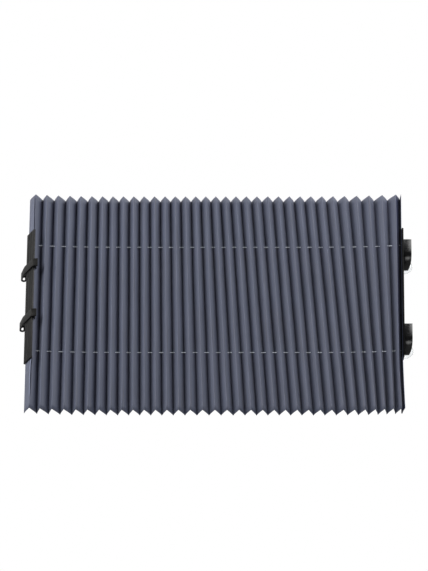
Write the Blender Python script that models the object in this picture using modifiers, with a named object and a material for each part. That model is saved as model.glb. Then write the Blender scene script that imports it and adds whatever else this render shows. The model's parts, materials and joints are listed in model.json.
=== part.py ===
"""Pleated car windscreen shade, drawn out and laid flat: a folded sheet between two end rails.

X is the direction in which the shade is drawn out, Y runs along the pleats and Z is up. The shade
lies on the tips of its two hooks and on the rims of its two suction cups, which touch Z = 0.
All lengths are in metres.
"""

import math

import bmesh
import bpy
from mathutils import Matrix, Vector

# Folded sheet
SHEET_LENGTH = 0.650
SHEET_THICKNESS = 0.0005
CRESTS = 34
PANEL_WIDTH = 0.0275
FIRST_CREST_X = -0.4433
LAST_VALLEY_X = 0.4590
VALLEY_Z = 0.0340
MIDDLE_SAG = 0.0085
SAG_POWER = 6
MITRE_LIMIT = 4.0
LEFT_FOLD_REACH = 0.0150
RIGHT_FOLD_REACH = 0.0025

# Drift of the folds from even spacing: the heights of one half wave, two, three and so on across
# the sheet, at the far edge and at the near edge, then how far the crests lean away from the middle
FAR_DRIFT = (-0.0122, 0.0130, -0.0009, 0.0025, -0.0004, 0.0015)
NEAR_DRIFT = (0.0227, -0.0098, 0.0063, -0.0010, 0.0026, -0.0014)
FAR_CREST_LEAN = 0.0042
NEAR_CREST_LEAN = 0.0068
END_SHIFT = 0.0030
END_SHIFT_SHARE = 0.04
END_CREST_ROOM = 0.0060

# Fit between pieces that touch or slide
GAP = 0.0003
HOLE_CLEARANCE = 0.0003

# Rails and the strips that clamp the end panels to them. The Y values are their near and far ends
RAIL_Y = {"left": (-0.1780, 0.2130), "right": (-0.1640, 0.2180)}
RAIL_THICKNESS = 0.0042
RAIL_ABOVE_CREST = 0.0040
RAIL_BELOW_VALLEY = 0.0015
RAIL_CHAMFER = 0.0008
GROOVE_WIDTH = 0.0016
GROOVE_FLOOR_WIDTH = 0.0008
GROOVE_DEPTH = 0.0005
GROOVE_SPACING = 0.0120
STRIP_THICKNESS = 0.0018
STRIP_FOLD_MARGIN = 0.0100
STRIP_FREE_MARGIN = 0.0035

# Rivets
RIVETS_CENTRE_Y = 0.0175
RIVET_SPACING = 0.1150
RIVETS_PER_RAIL = 4
RIVET_RADIUS = 0.0015
RIVET_HEAD_RADIUS = 0.0026
RIVET_HEAD_HEIGHT = 0.0008

# Draw cords and the ferrules crimped on their ends, which sit in pockets of the rails
CORD_RADIUS = 0.0006
CORD_HOLE_RADIUS = 0.0014
CORD_Y = {"upper": 0.177, "lower": -0.144}
CORD_HOLE_OVERRUN = 0.0040
CORD_DEPTH_SHARE = 0.45
CORD_POINTS = 24
FERRULE_RADIUS = 0.0025
FERRULE_LENGTH = 0.0018
CORD_END_GAP = 0.0007

# Hook clips, which slide along the left rail
HOOK_Y = {"upper": 0.1080, "lower": -0.0450}
HOOK_WIDTH = 0.0222
HOOK_THICKNESS = 0.0030
HOOK_HEAD_REACH = 0.0098
HOOK_HEAD_HEIGHT = 0.0042
HOOK_HEAD_TAPER = 0.0006
HOOK_LEG_CLEARANCE = 0.0012
HOOK_LEG_THICKNESS = 0.0022
HOOK_FINGER_X = 0.0042
HOOK_FINGER_WIDTH = 0.0022
HOOK_FINGER_DROP = 0.0042
HOOK_CATCH_REACH = 0.0030
HOOK_CATCH_HEIGHT = 0.0035
HOOK_ARM_SPREAD = 0.0108
HOOK_MOUTH = 0.0080
HOOK_CURL_END = math.radians(20)
HOOK_ARC_STEPS = 10
HOOK_WINDOW_WIDTH = 0.0054
HOOK_WINDOW_LENGTH = 0.0090
HOOK_WINDOW_EDGE = 0.0040

# Cup brackets, screwed to the outside of the right rail
CUP_Y = {"upper": 0.1425, "lower": -0.1150}
CUP_X = 0.4662
BRACKET_OUTER_X = 0.4858
BRACKET_BACK_REACH = 0.0425
BRACKET_SHELF_FRONT = 0.0055
BRACKET_NOSE_FRONT = -0.0205
BRACKET_SHELF_DROP = 0.0170
BRACKET_FOOT_Z = 0.0135
BRACKET_FOOT_BACK = 0.0075
BRACKET_FOOT_TAPER = 0.0085
BRACKET_BRACE_REACH = 0.0060
BRACKET_BRACE_DROP = 0.0020
BRACKET_TOP_MARGIN = 0.0010
BRACKET_NOSE_STEPS = 8
HUB_RADIUS = 0.0125
HUB_UNDER_RAIL = 0.0015
SCREW_RADIUS = 0.0015
SCREW_HEAD_RADIUS = 0.0028
SCREW_HEAD_HEIGHT = 0.0016
SCREW_LENGTH = 0.0105
SCREW_UNDER_CREST = 0.0034
SCREW_BACK_MARGINS = (0.0295, 0.0095)

# Suction cups
CUP_RADIUS = 0.0220
CUP_RIM_WIDTH = 0.0020
CUP_RIM_HEIGHT = 0.0008
CUP_DOME_HEIGHT = 0.0105
CUP_WALL = 0.0022
CUP_STEM_RADIUS = 0.0045
CUP_STEM_HEIGHT = 0.0120
CUP_DOME_STEPS = 6

# Roundness and shading of the meshes
ROUND_STEPS = 24
SMALL_ROUND_STEPS = 12
SHARP_ANGLE = math.radians(40)
WELD_DISTANCE = 0.000001
TURN_WELD_DISTANCE = 0.00001

# Colours of the pieces, red, green and blue
SHEET_COLOUR = (0.13, 0.14, 0.18)
RAIL_COLOUR = (0.022, 0.021, 0.020)
METAL_COLOUR = (0.55, 0.55, 0.56)
CORD_COLOUR = (0.62, 0.63, 0.66)
CUP_COLOUR = (0.85, 0.87, 0.88)

LAST_FOLD = 2 * CRESTS - 1
HALF_PITCH = (LAST_VALLEY_X - FIRST_CREST_X) / LAST_FOLD
FOLD_DEPTH = math.sqrt(PANEL_WIDTH**2 - HALF_PITCH**2)
CREST_Z = VALLEY_Z + FOLD_DEPTH
PANEL_FACE = SHEET_THICKNESS / 2 + GAP
STRIP_FACE = PANEL_FACE + STRIP_THICKNESS
RAIL_FACE = PANEL_FACE + RAIL_THICKNESS


def clear_scene():
    for item in list(bpy.data.objects):
        bpy.data.objects.remove(item, do_unlink=True)


def collection(name, hidden=False):
    made = bpy.data.collections.new(name)
    bpy.context.scene.collection.children.link(made)
    made.hide_render = hidden
    return made


def material(name, colour, roughness, metallic=0.0, transmission=0.0):
    made = bpy.data.materials.new(name)
    made.use_nodes = True
    shader = made.node_tree.nodes["Principled BSDF"]
    shader.inputs["Base Color"].default_value = (*colour, 1.0)
    shader.inputs["Roughness"].default_value = roughness
    shader.inputs["Metallic"].default_value = metallic
    shader.inputs["Transmission Weight"].default_value = transmission
    return made


class Shop:
    """Where pieces are put: the part's collection, the cutters' collection and the origin empty."""

    def __init__(self):
        self.parts = collection("pleated_windscreen_shade")
        self.cutters = collection("cutters", hidden=True)
        self.origin = self.empty("shade_origin")

    def empty(self, name, parent=None, location=(0, 0, 0), turn_y=0.0):
        made = bpy.data.objects.new(name, None)
        self.parts.objects.link(made)
        made.parent = parent
        made.location = location
        made.rotation_euler = (0, turn_y, 0)
        return made

    def add(self, name, mesh, finish=None, parent=None, location=(0, 0, 0), turn=(0, 0, 0), cutter=False):
        made = bpy.data.objects.new(name, mesh)
        (self.cutters if cutter else self.parts).objects.link(made)
        made.parent = parent or self.origin
        made.location = location
        made.rotation_euler = turn
        if cutter:
            made.hide_render = True
            made.display_type = "WIRE"
        else:
            mesh.materials.clear()
            mesh.materials.append(finish)
        return made


def mesh_from_curve(curve):
    """The closed mesh of a curve, with its caps welded on."""
    carrier = bpy.data.objects.new(curve.name, curve)
    bpy.context.scene.collection.objects.link(carrier)
    graph = bpy.context.evaluated_depsgraph_get()
    mesh = bpy.data.meshes.new_from_object(carrier.evaluated_get(graph))
    bpy.data.objects.remove(carrier, do_unlink=True)
    shape = bmesh.new()
    shape.from_mesh(mesh)
    bmesh.ops.remove_doubles(shape, verts=shape.verts, dist=WELD_DISTANCE)
    bmesh.ops.recalc_face_normals(shape, faces=shape.faces)
    shape.to_mesh(mesh)
    shape.free()
    return mesh


def plate_mesh(name, outline, thickness):
    """An outline in the XZ plane, thickened both ways along Y."""
    curve = bpy.data.curves.new(name, "CURVE")
    curve.dimensions = "2D"
    curve.fill_mode = "BOTH"
    curve.extrude = thickness / 2
    line = curve.splines.new("POLY")
    line.points.add(len(outline) - 1)
    for point, (x, z) in zip(line.points, outline):
        point.co = (x, z, 0, 1)
    line.use_cyclic_u = True
    mesh = mesh_from_curve(curve)
    mesh.transform(Matrix.Rotation(math.pi / 2, 4, "X"))
    return mesh


def tube_mesh(name, points, radius, roundness):
    curve = bpy.data.curves.new(name, "CURVE")
    curve.dimensions = "3D"
    curve.bevel_depth = radius
    curve.bevel_resolution = roundness
    curve.use_fill_caps = True
    line = curve.splines.new("POLY")
    line.points.add(len(points) - 1)
    for point, place in zip(line.points, points):
        point.co = (*place, 1)
    return mesh_from_curve(curve)


def round_mesh(name, radius, length, steps=SMALL_ROUND_STEPS):
    """A cylinder along X, centred."""
    mesh = bpy.data.meshes.new(name)
    shape = bmesh.new()
    bmesh.ops.create_cone(
        shape, cap_ends=True, segments=steps, radius1=radius, radius2=radius, depth=length
    )
    bmesh.ops.rotate(shape, verts=shape.verts, matrix=Matrix.Rotation(math.pi / 2, 3, "Y"))
    shape.to_mesh(mesh)
    shape.free()
    mesh.shade_smooth()
    mesh.set_sharp_from_angle(angle=SHARP_ANGLE)
    return mesh


def box_mesh(name, low, high):
    mesh = bpy.data.meshes.new(name)
    shape = bmesh.new()
    bmesh.ops.create_cube(shape, size=1.0)
    size = Vector(high) - Vector(low)
    bmesh.ops.scale(shape, verts=shape.verts, vec=size)
    bmesh.ops.translate(shape, verts=shape.verts, vec=(Vector(high) + Vector(low)) / 2)
    shape.to_mesh(mesh)
    shape.free()
    return mesh


def turned(target, steps):
    """Turns a half profile in the XZ plane once round Z."""
    spin = target.modifiers.new("turn", "SCREW")
    spin.axis = "Z"
    spin.angle = 2 * math.pi
    spin.steps = steps
    spin.render_steps = steps
    spin.use_merge_vertices = True
    spin.merge_threshold = TURN_WELD_DISTANCE
    spin.use_smooth_shade = True


def profile_mesh(name, points):
    mesh = bpy.data.meshes.new(name)
    rim = [(r, 0, z) for r, z in points]
    mesh.from_pydata(rim, [(i, i + 1) for i in range(len(rim) - 1)], [])
    return mesh


def cut(target, cutter, operation="DIFFERENCE"):
    change = target.modifiers.new(cutter.name, "BOOLEAN")
    change.object = cutter
    change.operation = operation
    change.solver = "EXACT"


def sag(x):
    """How far the sheet hangs below its ends at this X: steeply near the rails, then evenly."""
    share = min(max((x - FIRST_CREST_X) / (LAST_VALLEY_X - FIRST_CREST_X), 0.0), 1.0)
    return MIDDLE_SAG * (1 - abs(2 * share - 1) ** SAG_POWER)


def fold_x(index, drift, lean):
    """X of a fold at one edge. Fold 0 is the first crest and the last one is the last valley."""
    share = index / LAST_FOLD
    x = FIRST_CREST_X + (LAST_VALLEY_X - FIRST_CREST_X) * share
    if index in (0, LAST_FOLD):
        return x
    x += sum(height * math.sin(wave * math.pi * share) for wave, height in enumerate(drift, 1))
    x += END_SHIFT * sum(math.exp(-distance / END_SHIFT_SHARE) for distance in (share, 1 - share))
    if index % 2 == 0:
        x += lean * (2 * share - 1)
    return min(x, LAST_VALLEY_X - END_CREST_ROOM)


def fold_lines():
    """Each fold as X at the far edge, X at the near edge and Z, from the left free edge to the right."""
    lines = [(FIRST_CREST_X - LEFT_FOLD_REACH, FIRST_CREST_X - LEFT_FOLD_REACH, VALLEY_Z)]
    for index in range(LAST_FOLD + 1):
        far = fold_x(index, FAR_DRIFT, FAR_CREST_LEAN)
        near = fold_x(index, NEAR_DRIFT, NEAR_CREST_LEAN)
        height = CREST_Z if index % 2 == 0 else VALLEY_Z
        lines.append((far, near, height - sag((far + near) / 2)))
    lines.append((LAST_VALLEY_X + RIGHT_FOLD_REACH, LAST_VALLEY_X + RIGHT_FOLD_REACH, CREST_Z))
    return lines


class RailFrame:
    """The slope of an end panel: 'out' is square to the panel, away from the sheet, and 'up' is along it."""

    def __init__(self, low, high, outward):
        self.width = math.hypot(high[0] - low[0], high[1] - low[1])
        self.middle = ((low[0] + high[0]) / 2, (low[1] + high[1]) / 2)
        self.turn = math.atan2(high[0] - low[0], high[1] - low[1])
        self.outward = outward
        self.top = self.width / 2 + RAIL_ABOVE_CREST
        self.bottom = -self.width / 2 - RAIL_BELOW_VALLEY

    def at(self, out, up):
        """The X and Z of a place given square to the panel and along it."""
        x = self.middle[0] + self.outward * out * math.cos(self.turn) + up * math.sin(self.turn)
        z = self.middle[1] - self.outward * out * math.sin(self.turn) + up * math.cos(self.turn)
        return x, z

    def cord_up(self):
        """Where a cord passes, along the panel from its middle."""
        return (cord_z(self.middle[0]) - self.middle[1]) / math.cos(self.turn)


LEFT = RailFrame((FIRST_CREST_X - LEFT_FOLD_REACH, VALLEY_Z), (FIRST_CREST_X, CREST_Z), -1)
RIGHT = RailFrame((LAST_VALLEY_X, VALLEY_Z), (LAST_VALLEY_X + RIGHT_FOLD_REACH, CREST_Z), 1)


def cord_z(x):
    return VALLEY_Z + CORD_DEPTH_SHARE * FOLD_DEPTH - sag(x)


def cord_path(y, start, end):
    path = []
    for step in range(CORD_POINTS):
        x = start + (end - start) * step / (CORD_POINTS - 1)
        path.append((x, y, cord_z(x)))
    return path


def rivet_places():
    middle = (RIVETS_PER_RAIL - 1) / 2
    return [(number - middle) * RIVET_SPACING for number in range(RIVETS_PER_RAIL)]


def offset_fold(before, fold, after, distance):
    """A fold in X and Z moved square to its panels by this distance, with a limit at tight folds."""
    place = Vector(fold)
    ways = [place - Vector(before) if before else None, Vector(after) - place if after else None]
    normals = [Vector((-way.y, way.x)).normalized() for way in ways if way]
    middle = sum(normals, Vector((0.0, 0.0))).normalized()
    reach = min(1 / middle.dot(normals[0]), MITRE_LIMIT)
    return place + middle * distance * reach


def sheet_section(column):
    """The upper and the lower line of the sheet's cut end, at the far edge (0) or the near edge (1)."""
    folds = [(line[column], line[2]) for line in fold_lines()]
    around = list(zip([None, *folds[:-1]], folds, [*folds[1:], None]))
    half = SHEET_THICKNESS / 2
    return [[offset_fold(*three, side) for three in around] for side in (half, -half)]


def make_cord_holes(shop):
    """The cutters for the holes that the cords run in, a little longer than the sheet."""
    start = FIRST_CREST_X - LEFT_FOLD_REACH - CORD_HOLE_OVERRUN
    end = LAST_VALLEY_X + RIGHT_FOLD_REACH + CORD_HOLE_OVERRUN
    holes = {}
    for side, y in CORD_Y.items():
        mesh = tube_mesh("cord_holes", cord_path(y, start, end), CORD_HOLE_RADIUS, 1)
        holes[side] = shop.add(f"{side}_cord_holes", mesh, cutter=True)
    return holes


def make_sheet(shop, finish, cord_holes):
    """The one folded sheet, with a punched hole wherever a cord or a rivet goes through it."""
    shape = bmesh.new()
    edges = []
    for column, y in ((0, SHEET_LENGTH / 2), (1, -SHEET_LENGTH / 2)):
        upper, lower = sheet_section(column)
        ring = upper + lower[::-1]
        edges.append([shape.verts.new((x, y, z)) for x, z in ring])
    far, near = edges
    count = len(far)
    for start in range(count):
        end = (start + 1) % count
        shape.faces.new((far[start], far[end], near[end], near[start]))
    for ring in edges:
        for start in range(count // 2 - 1):
            across = count - 1 - start
            shape.faces.new((ring[start], ring[start + 1], ring[across - 1], ring[across]))
    bmesh.ops.triangulate(shape, faces=shape.faces)
    bmesh.ops.recalc_face_normals(shape, faces=shape.faces)
    mesh = bpy.data.meshes.new("pleated_blind")
    shape.to_mesh(mesh)
    shape.free()
    sheet = shop.add("pleated_blind", mesh, finish)
    for hole in cord_holes.values():
        cut(sheet, hole)
    return sheet


def make_rail(shop, side, frame, carrier, plastic, metal, sheet, cord_holes):
    """A rail outside the end panel, a strip inside it and the rivets through all three."""
    out = frame.outward
    face = out * PANEL_FACE
    back = out * RAIL_FACE
    chamfer = out * RAIL_CHAMFER
    outline = [(face, frame.bottom), (back - chamfer, frame.bottom), (back, frame.bottom + RAIL_CHAMFER)]
    for z in (-GROOVE_SPACING / 2, GROOVE_SPACING / 2):
        floor = back - out * GROOVE_DEPTH
        outline += [(back, z - GROOVE_WIDTH / 2), (floor, z - GROOVE_FLOOR_WIDTH / 2)]
        outline += [(floor, z + GROOVE_FLOOR_WIDTH / 2), (back, z + GROOVE_WIDTH / 2)]
    outline += [(back, frame.top - RAIL_CHAMFER), (back - chamfer, frame.top), (face, frame.top)]
    near, far = [end - RIVETS_CENTRE_Y for end in RAIL_Y[side]]
    mesh = plate_mesh("rail", outline, far - near)
    rail = shop.add(f"{side}_rail", mesh, plastic, carrier, location=(0, (near + far) / 2, 0))

    strip_x = sorted((-out * PANEL_FACE, -out * STRIP_FACE))
    strip_z = sorted((out * (STRIP_FOLD_MARGIN - frame.width / 2), out * (frame.width / 2 - STRIP_FREE_MARGIN)))
    low = (strip_x[0], near, strip_z[0])
    high = (strip_x[1], far, strip_z[1])
    strip = shop.add(f"{side}_clamp_strip", box_mesh("clamp_strip", low, high), plastic, carrier)
    rivet_up = sum(strip_z) / 2

    for cord_side, y in CORD_Y.items():
        cut(strip, cord_holes[cord_side])
        place = (out * PANEL_FACE, y - RIVETS_CENTRE_Y, frame.cord_up())
        ferrule = round_mesh("ferrule", FERRULE_RADIUS, FERRULE_LENGTH)
        seat = out * (PANEL_FACE + GAP + FERRULE_LENGTH / 2)
        shop.add(f"{side}_{cord_side}_ferrule", ferrule, metal, carrier, location=(seat, *place[1:]))
        pocket = round_mesh("ferrule_pocket", FERRULE_RADIUS + HOLE_CLEARANCE, 2 * (FERRULE_LENGTH + 2 * GAP))
        cut(rail, shop.add(f"{side}_{cord_side}_pocket", pocket, None, carrier, place, cutter=True))

    hole_radius = RIVET_RADIUS + HOLE_CLEARANCE
    sink_depth = RIVET_HEAD_HEIGHT + 2 * GAP
    reach = 2 * (RAIL_FACE + STRIP_FACE)
    inner = STRIP_FACE + GAP + RIVET_HEAD_HEIGHT
    outer = RAIL_FACE - GAP
    sink_floor = RAIL_FACE - sink_depth
    for number, y in enumerate(rivet_places(), 1):
        hole = shop.add(
            f"{side}_rivet_hole_{number}", round_mesh("rivet_hole", hole_radius, reach), None, carrier,
            location=(0, y, rivet_up), cutter=True,
        )
        sink_length = 2 * sink_depth
        sink = shop.add(
            f"{side}_rivet_sink_{number}",
            round_mesh("rivet_sink", RIVET_HEAD_RADIUS + HOLE_CLEARANCE, sink_length), None, carrier,
            location=(out * (sink_floor + sink_length / 2), y, rivet_up), cutter=True,
        )
        for piece in (rail, strip, sheet):
            cut(piece, hole)
        cut(rail, sink)
        profile = [(0, outer), (RIVET_HEAD_RADIUS, outer), (RIVET_HEAD_RADIUS, outer - RIVET_HEAD_HEIGHT)]
        profile += [(RIVET_RADIUS, outer - RIVET_HEAD_HEIGHT), (RIVET_RADIUS, RIVET_HEAD_HEIGHT - inner)]
        profile += [(RIVET_HEAD_RADIUS, RIVET_HEAD_HEIGHT - inner), (RIVET_HEAD_RADIUS, -inner), (0, -inner)]
        rivet = shop.add(
            f"{side}_rivet_{number}", profile_mesh("rivet", profile), metal, carrier,
            location=(0, y, rivet_up), turn=(0, out * math.pi / 2, 0),
        )
        turned(rivet, SMALL_ROUND_STEPS)
    return rail


def make_cords(shop, finish):
    """Two cords along the sheet, each ending at the faces of its two ferrules."""
    for side, y in CORD_Y.items():
        ends = [frame.at(PANEL_FACE, frame.cord_up())[0] - frame.outward * CORD_END_GAP for frame in (LEFT, RIGHT)]
        shop.add(f"{side}_cord", tube_mesh("cord", cord_path(y, *ends), CORD_RADIUS, 1), finish)


def hook_ring_x():
    """X of the middle of the ring that a hook's J follows."""
    arm_left = LEFT.at(RAIL_FACE + GAP + HOOK_THICKNESS, LEFT.bottom)[0] - HOOK_ARM_SPREAD
    return arm_left + HOOK_MOUTH / 2 + HOOK_THICKNESS


def hook_outline():
    """Section of a hook clip in X and Z: a head over the rail's top, an arm down its face and a J below."""
    at = LEFT.at
    inside = RAIL_FACE + GAP
    outside = inside + HOOK_THICKNESS
    leg = PANEL_FACE - GAP
    leg_end = LEFT.width / 2 + HOOK_LEG_CLEARANCE
    slot_top = LEFT.top + GAP
    head_top = at(outside, slot_top + HOOK_HEAD_HEIGHT)[1]
    head_right = FIRST_CREST_X + HOOK_HEAD_REACH
    head_under = head_top - HOOK_HEAD_HEIGHT
    finger_left = FIRST_CREST_X + HOOK_FINGER_X
    finger_end = CREST_Z - HOOK_FINGER_DROP

    # The curl is a half ring below the rail, open toward the sheet, with one flat under it
    arm_low = LEFT.bottom - GAP - HOOK_CATCH_HEIGHT
    ring_inner = HOOK_MOUTH / 2
    ring_outer = ring_inner + HOOK_THICKNESS
    arc_step = (math.pi + HOOK_CURL_END) / HOOK_ARC_STEPS
    ring_x = hook_ring_x()
    ring_z = ring_outer * math.cos(arc_step / 2)

    outline = [(head_right, head_top), (head_right, head_under + HOOK_HEAD_TAPER)]
    outline += [(finger_left + HOOK_FINGER_WIDTH, head_under), (finger_left + HOOK_FINGER_WIDTH, finger_end)]
    outline += [(finger_left, finger_end), (finger_left, head_under)]
    outline += [at(leg - HOOK_LEG_THICKNESS, slot_top - HOOK_LEG_THICKNESS)]
    outline += [at(leg - HOOK_LEG_THICKNESS, leg_end), at(leg, leg_end), at(leg, slot_top)]
    outline += [at(inside, slot_top), at(inside, LEFT.bottom - GAP)]
    outline += [at(inside - HOOK_CATCH_REACH, LEFT.bottom - GAP)]
    outline += [at(inside - HOOK_CATCH_REACH, LEFT.bottom - GAP - HOOK_CATCH_HEIGHT / 2), at(inside, arm_low)]
    angles = [math.pi + arc_step * step for step in range(HOOK_ARC_STEPS + 1)]
    outline += [(ring_x + ring_inner * math.cos(angle), ring_z + ring_inner * math.sin(angle)) for angle in angles]
    angles.reverse()
    outline += [(ring_x + ring_outer * math.cos(angle), ring_z + ring_outer * math.sin(angle)) for angle in angles]
    outline += [at(outside, arm_low)]
    outline += [at(outside, slot_top + HOOK_HEAD_HEIGHT / 2), at(inside, slot_top + HOOK_HEAD_HEIGHT)]
    return outline


def make_hooks(shop, plastic):
    """The clips, each with a moulding window through the bottom of its J, near one end."""
    half_width = HOOK_WINDOW_WIDTH / 2
    low_y = HOOK_WINDOW_EDGE - HOOK_WIDTH / 2
    window_low = (hook_ring_x() - half_width, low_y, -HOOK_THICKNESS)
    window_high = (hook_ring_x() + half_width, low_y + HOOK_WINDOW_LENGTH, HOOK_THICKNESS + HOOK_MOUTH / 2)
    for side, y in HOOK_Y.items():
        mesh = plate_mesh("hook_clip", hook_outline(), HOOK_WIDTH)
        clip = shop.add(f"{side}_hook_clip", mesh, plastic, location=(0, y, 0))
        window = box_mesh("hook_window", window_low, window_high)
        cut(clip, shop.add(f"{side}_hook_window", window, location=(0, y, 0), cutter=True))


def bracket_outline():
    """Side view of a cup bracket in Y and Z: a flat shelf, a rounded nose and a foot over the cup."""
    top = CREST_Z + BRACKET_TOP_MARGIN
    shelf_under = top - BRACKET_SHELF_DROP
    outline = [(BRACKET_BACK_REACH, top), (BRACKET_BACK_REACH, shelf_under)]
    outline += [(BRACKET_FOOT_BACK + BRACKET_BRACE_REACH, shelf_under - BRACKET_BRACE_DROP)]
    outline += [(BRACKET_FOOT_BACK, BRACKET_FOOT_Z)]
    reach = BRACKET_SHELF_FRONT - BRACKET_NOSE_FRONT
    rise = top - BRACKET_FOOT_Z
    for step in range(BRACKET_NOSE_STEPS + 1):
        angle = math.pi / 2 * step / BRACKET_NOSE_STEPS
        outline.append((BRACKET_SHELF_FRONT - reach * math.cos(angle), BRACKET_FOOT_Z + rise * math.sin(angle)))
    return outline


def make_cup_unit(shop, side, y, plastic, rubber, metal, rail, carrier):
    """A bracket on the rail's outer face, its two screws and the suction cup in its hub."""
    top = CREST_Z + BRACKET_TOP_MARGIN
    rail_low, rail_high = RIGHT.at(RAIL_FACE + GAP, RIGHT.bottom), RIGHT.at(RAIL_FACE + GAP, RIGHT.top)
    slope = (rail_high[0] - rail_low[0]) / (rail_high[1] - rail_low[1])

    def rail_x(z):
        return rail_low[0] + slope * (z - rail_low[1])

    depth = BRACKET_OUTER_X - rail_x(top)
    mesh = plate_mesh("cup_bracket", bracket_outline(), depth)
    mesh.transform(Matrix.Rotation(math.pi / 2, 4, "Z"))
    for vertex in mesh.vertices:
        share = (top - vertex.co.z) / (top - BRACKET_FOOT_Z)
        inner = vertex.co.x < 0
        vertex.co.x = rail_x(vertex.co.z) if inner else BRACKET_OUTER_X - BRACKET_FOOT_TAPER * share**2
    bracket = shop.add(f"{side}_cup_bracket", mesh, plastic, location=(0, y, 0))

    hub_top = RIGHT.at(0, RIGHT.bottom)[1] - HUB_UNDER_RAIL
    hub_height = hub_top - BRACKET_FOOT_Z
    hub_mesh = round_mesh("hub", HUB_RADIUS, hub_height, ROUND_STEPS)
    hub = shop.add(
        f"{side}_hub_form", hub_mesh, location=(CUP_X, y, BRACKET_FOOT_Z + hub_height / 2),
        turn=(0, math.pi / 2, 0), cutter=True,
    )
    cut(bracket, hub, "UNION")
    bore_height = 2 * CUP_STEM_HEIGHT
    bore = shop.add(
        f"{side}_stem_bore", round_mesh("bore", CUP_STEM_RADIUS + GAP, bore_height, ROUND_STEPS),
        location=(CUP_X, y, CUP_DOME_HEIGHT + CUP_STEM_HEIGHT + GAP - bore_height / 2),
        turn=(0, math.pi / 2, 0), cutter=True,
    )
    cut(bracket, bore)

    angles = [math.pi / 2 * step / CUP_DOME_STEPS for step in range(CUP_DOME_STEPS + 1)]
    dome = [(math.sin(angle), math.cos(angle)) for angle in angles]
    neck = CUP_STEM_RADIUS
    inner_radius = CUP_RADIUS - CUP_RIM_WIDTH
    profile = [(0, CUP_DOME_HEIGHT + CUP_STEM_HEIGHT), (neck, CUP_DOME_HEIGHT + CUP_STEM_HEIGHT)]
    rise = CUP_DOME_HEIGHT - CUP_RIM_HEIGHT
    profile += [(neck + (CUP_RADIUS - neck) * s, CUP_RIM_HEIGHT + rise * c) for s, c in dome]
    profile += [(CUP_RADIUS, 0)]
    hollow = CUP_DOME_HEIGHT - CUP_WALL
    profile += [(inner_radius * s, hollow * c) for s, c in reversed(dome)]
    cup = shop.add(f"{side}_suction_cup", profile_mesh("suction_cup", profile), rubber, location=(CUP_X, y, 0))
    turned(cup, ROUND_STEPS)

    sink_depth = SCREW_HEAD_HEIGHT + 2 * GAP
    for number, margin in enumerate(SCREW_BACK_MARGINS, 1):
        up = RIGHT.width / 2 - SCREW_UNDER_CREST
        along = y + BRACKET_BACK_REACH - margin - RIVETS_CENTRE_Y
        shank_reach = 2 * (SCREW_LENGTH + 2 * GAP)
        hole = shop.add(
            f"{side}_screw_hole_{number}", round_mesh("screw_hole", SCREW_RADIUS + HOLE_CLEARANCE, shank_reach),
            None, carrier, location=(PANEL_FACE, along, up), cutter=True,
        )
        sink = shop.add(
            f"{side}_screw_sink_{number}",
            round_mesh("screw_sink", SCREW_HEAD_RADIUS + HOLE_CLEARANCE, 2 * sink_depth),
            None, carrier, location=(PANEL_FACE, along, up), cutter=True,
        )
        cut(rail, hole)
        cut(rail, sink)
        cut(bracket, hole)
        head = PANEL_FACE + GAP
        neck_x = head + SCREW_HEAD_HEIGHT
        tip = PANEL_FACE + SCREW_LENGTH
        shape = [(0, tip), (SCREW_RADIUS, tip), (SCREW_RADIUS, neck_x), (SCREW_HEAD_RADIUS, neck_x)]
        shape += [(SCREW_HEAD_RADIUS, head), (0, head)]
        screw = shop.add(
            f"{side}_bracket_screw_{number}", profile_mesh("bracket_screw", shape), metal, carrier,
            location=(0, along, up), turn=(0, math.pi / 2, 0),
        )
        turned(screw, SMALL_ROUND_STEPS)


def main():
    clear_scene()
    shop = Shop()
    cloth = material("pleated sheet", SHEET_COLOUR, 0.60)
    plastic = material("black moulded plastic", RAIL_COLOUR, 0.45)
    metal = material("plain steel", METAL_COLOUR, 0.35, metallic=1.0)
    thread = material("pale cord", CORD_COLOUR, 0.70)
    rubber = material("clear soft plastic", CUP_COLOUR, 0.15, transmission=0.9)

    left_x = min(x for x, z in hook_outline())
    right_x = CUP_X + CUP_RADIUS
    shop.origin.location.x = -(left_x + right_x) / 2
    carriers = {}
    for side, frame in (("left", LEFT), ("right", RIGHT)):
        place = (frame.middle[0], RIVETS_CENTRE_Y, frame.middle[1])
        carriers[side] = shop.empty(f"{side}_rail_frame", shop.origin, place, frame.turn)

    cord_holes = make_cord_holes(shop)
    sheet = make_sheet(shop, cloth, cord_holes)
    make_rail(shop, "left", LEFT, carriers["left"], plastic, metal, sheet, cord_holes)
    right_rail = make_rail(shop, "right", RIGHT, carriers["right"], plastic, metal, sheet, cord_holes)
    make_cords(shop, thread)
    make_hooks(shop, plastic)
    for side, y in CUP_Y.items():
        make_cup_unit(shop, side, y, plastic, rubber, metal, right_rail, carriers["right"])


main()
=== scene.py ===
"""Dresses the pleated windscreen shade: the folded cloth, its cords, the moulded rails and the cups.

X runs from the hook rail to the cup rail, Y along the pleats and Z up. Lengths are in metres.
"""

import json
import math

import bmesh
import bpy
import numpy as np
from bpy.props import FloatProperty, FloatVectorProperty, IntProperty, PointerProperty
from mathutils import Matrix, Vector, noise

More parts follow.
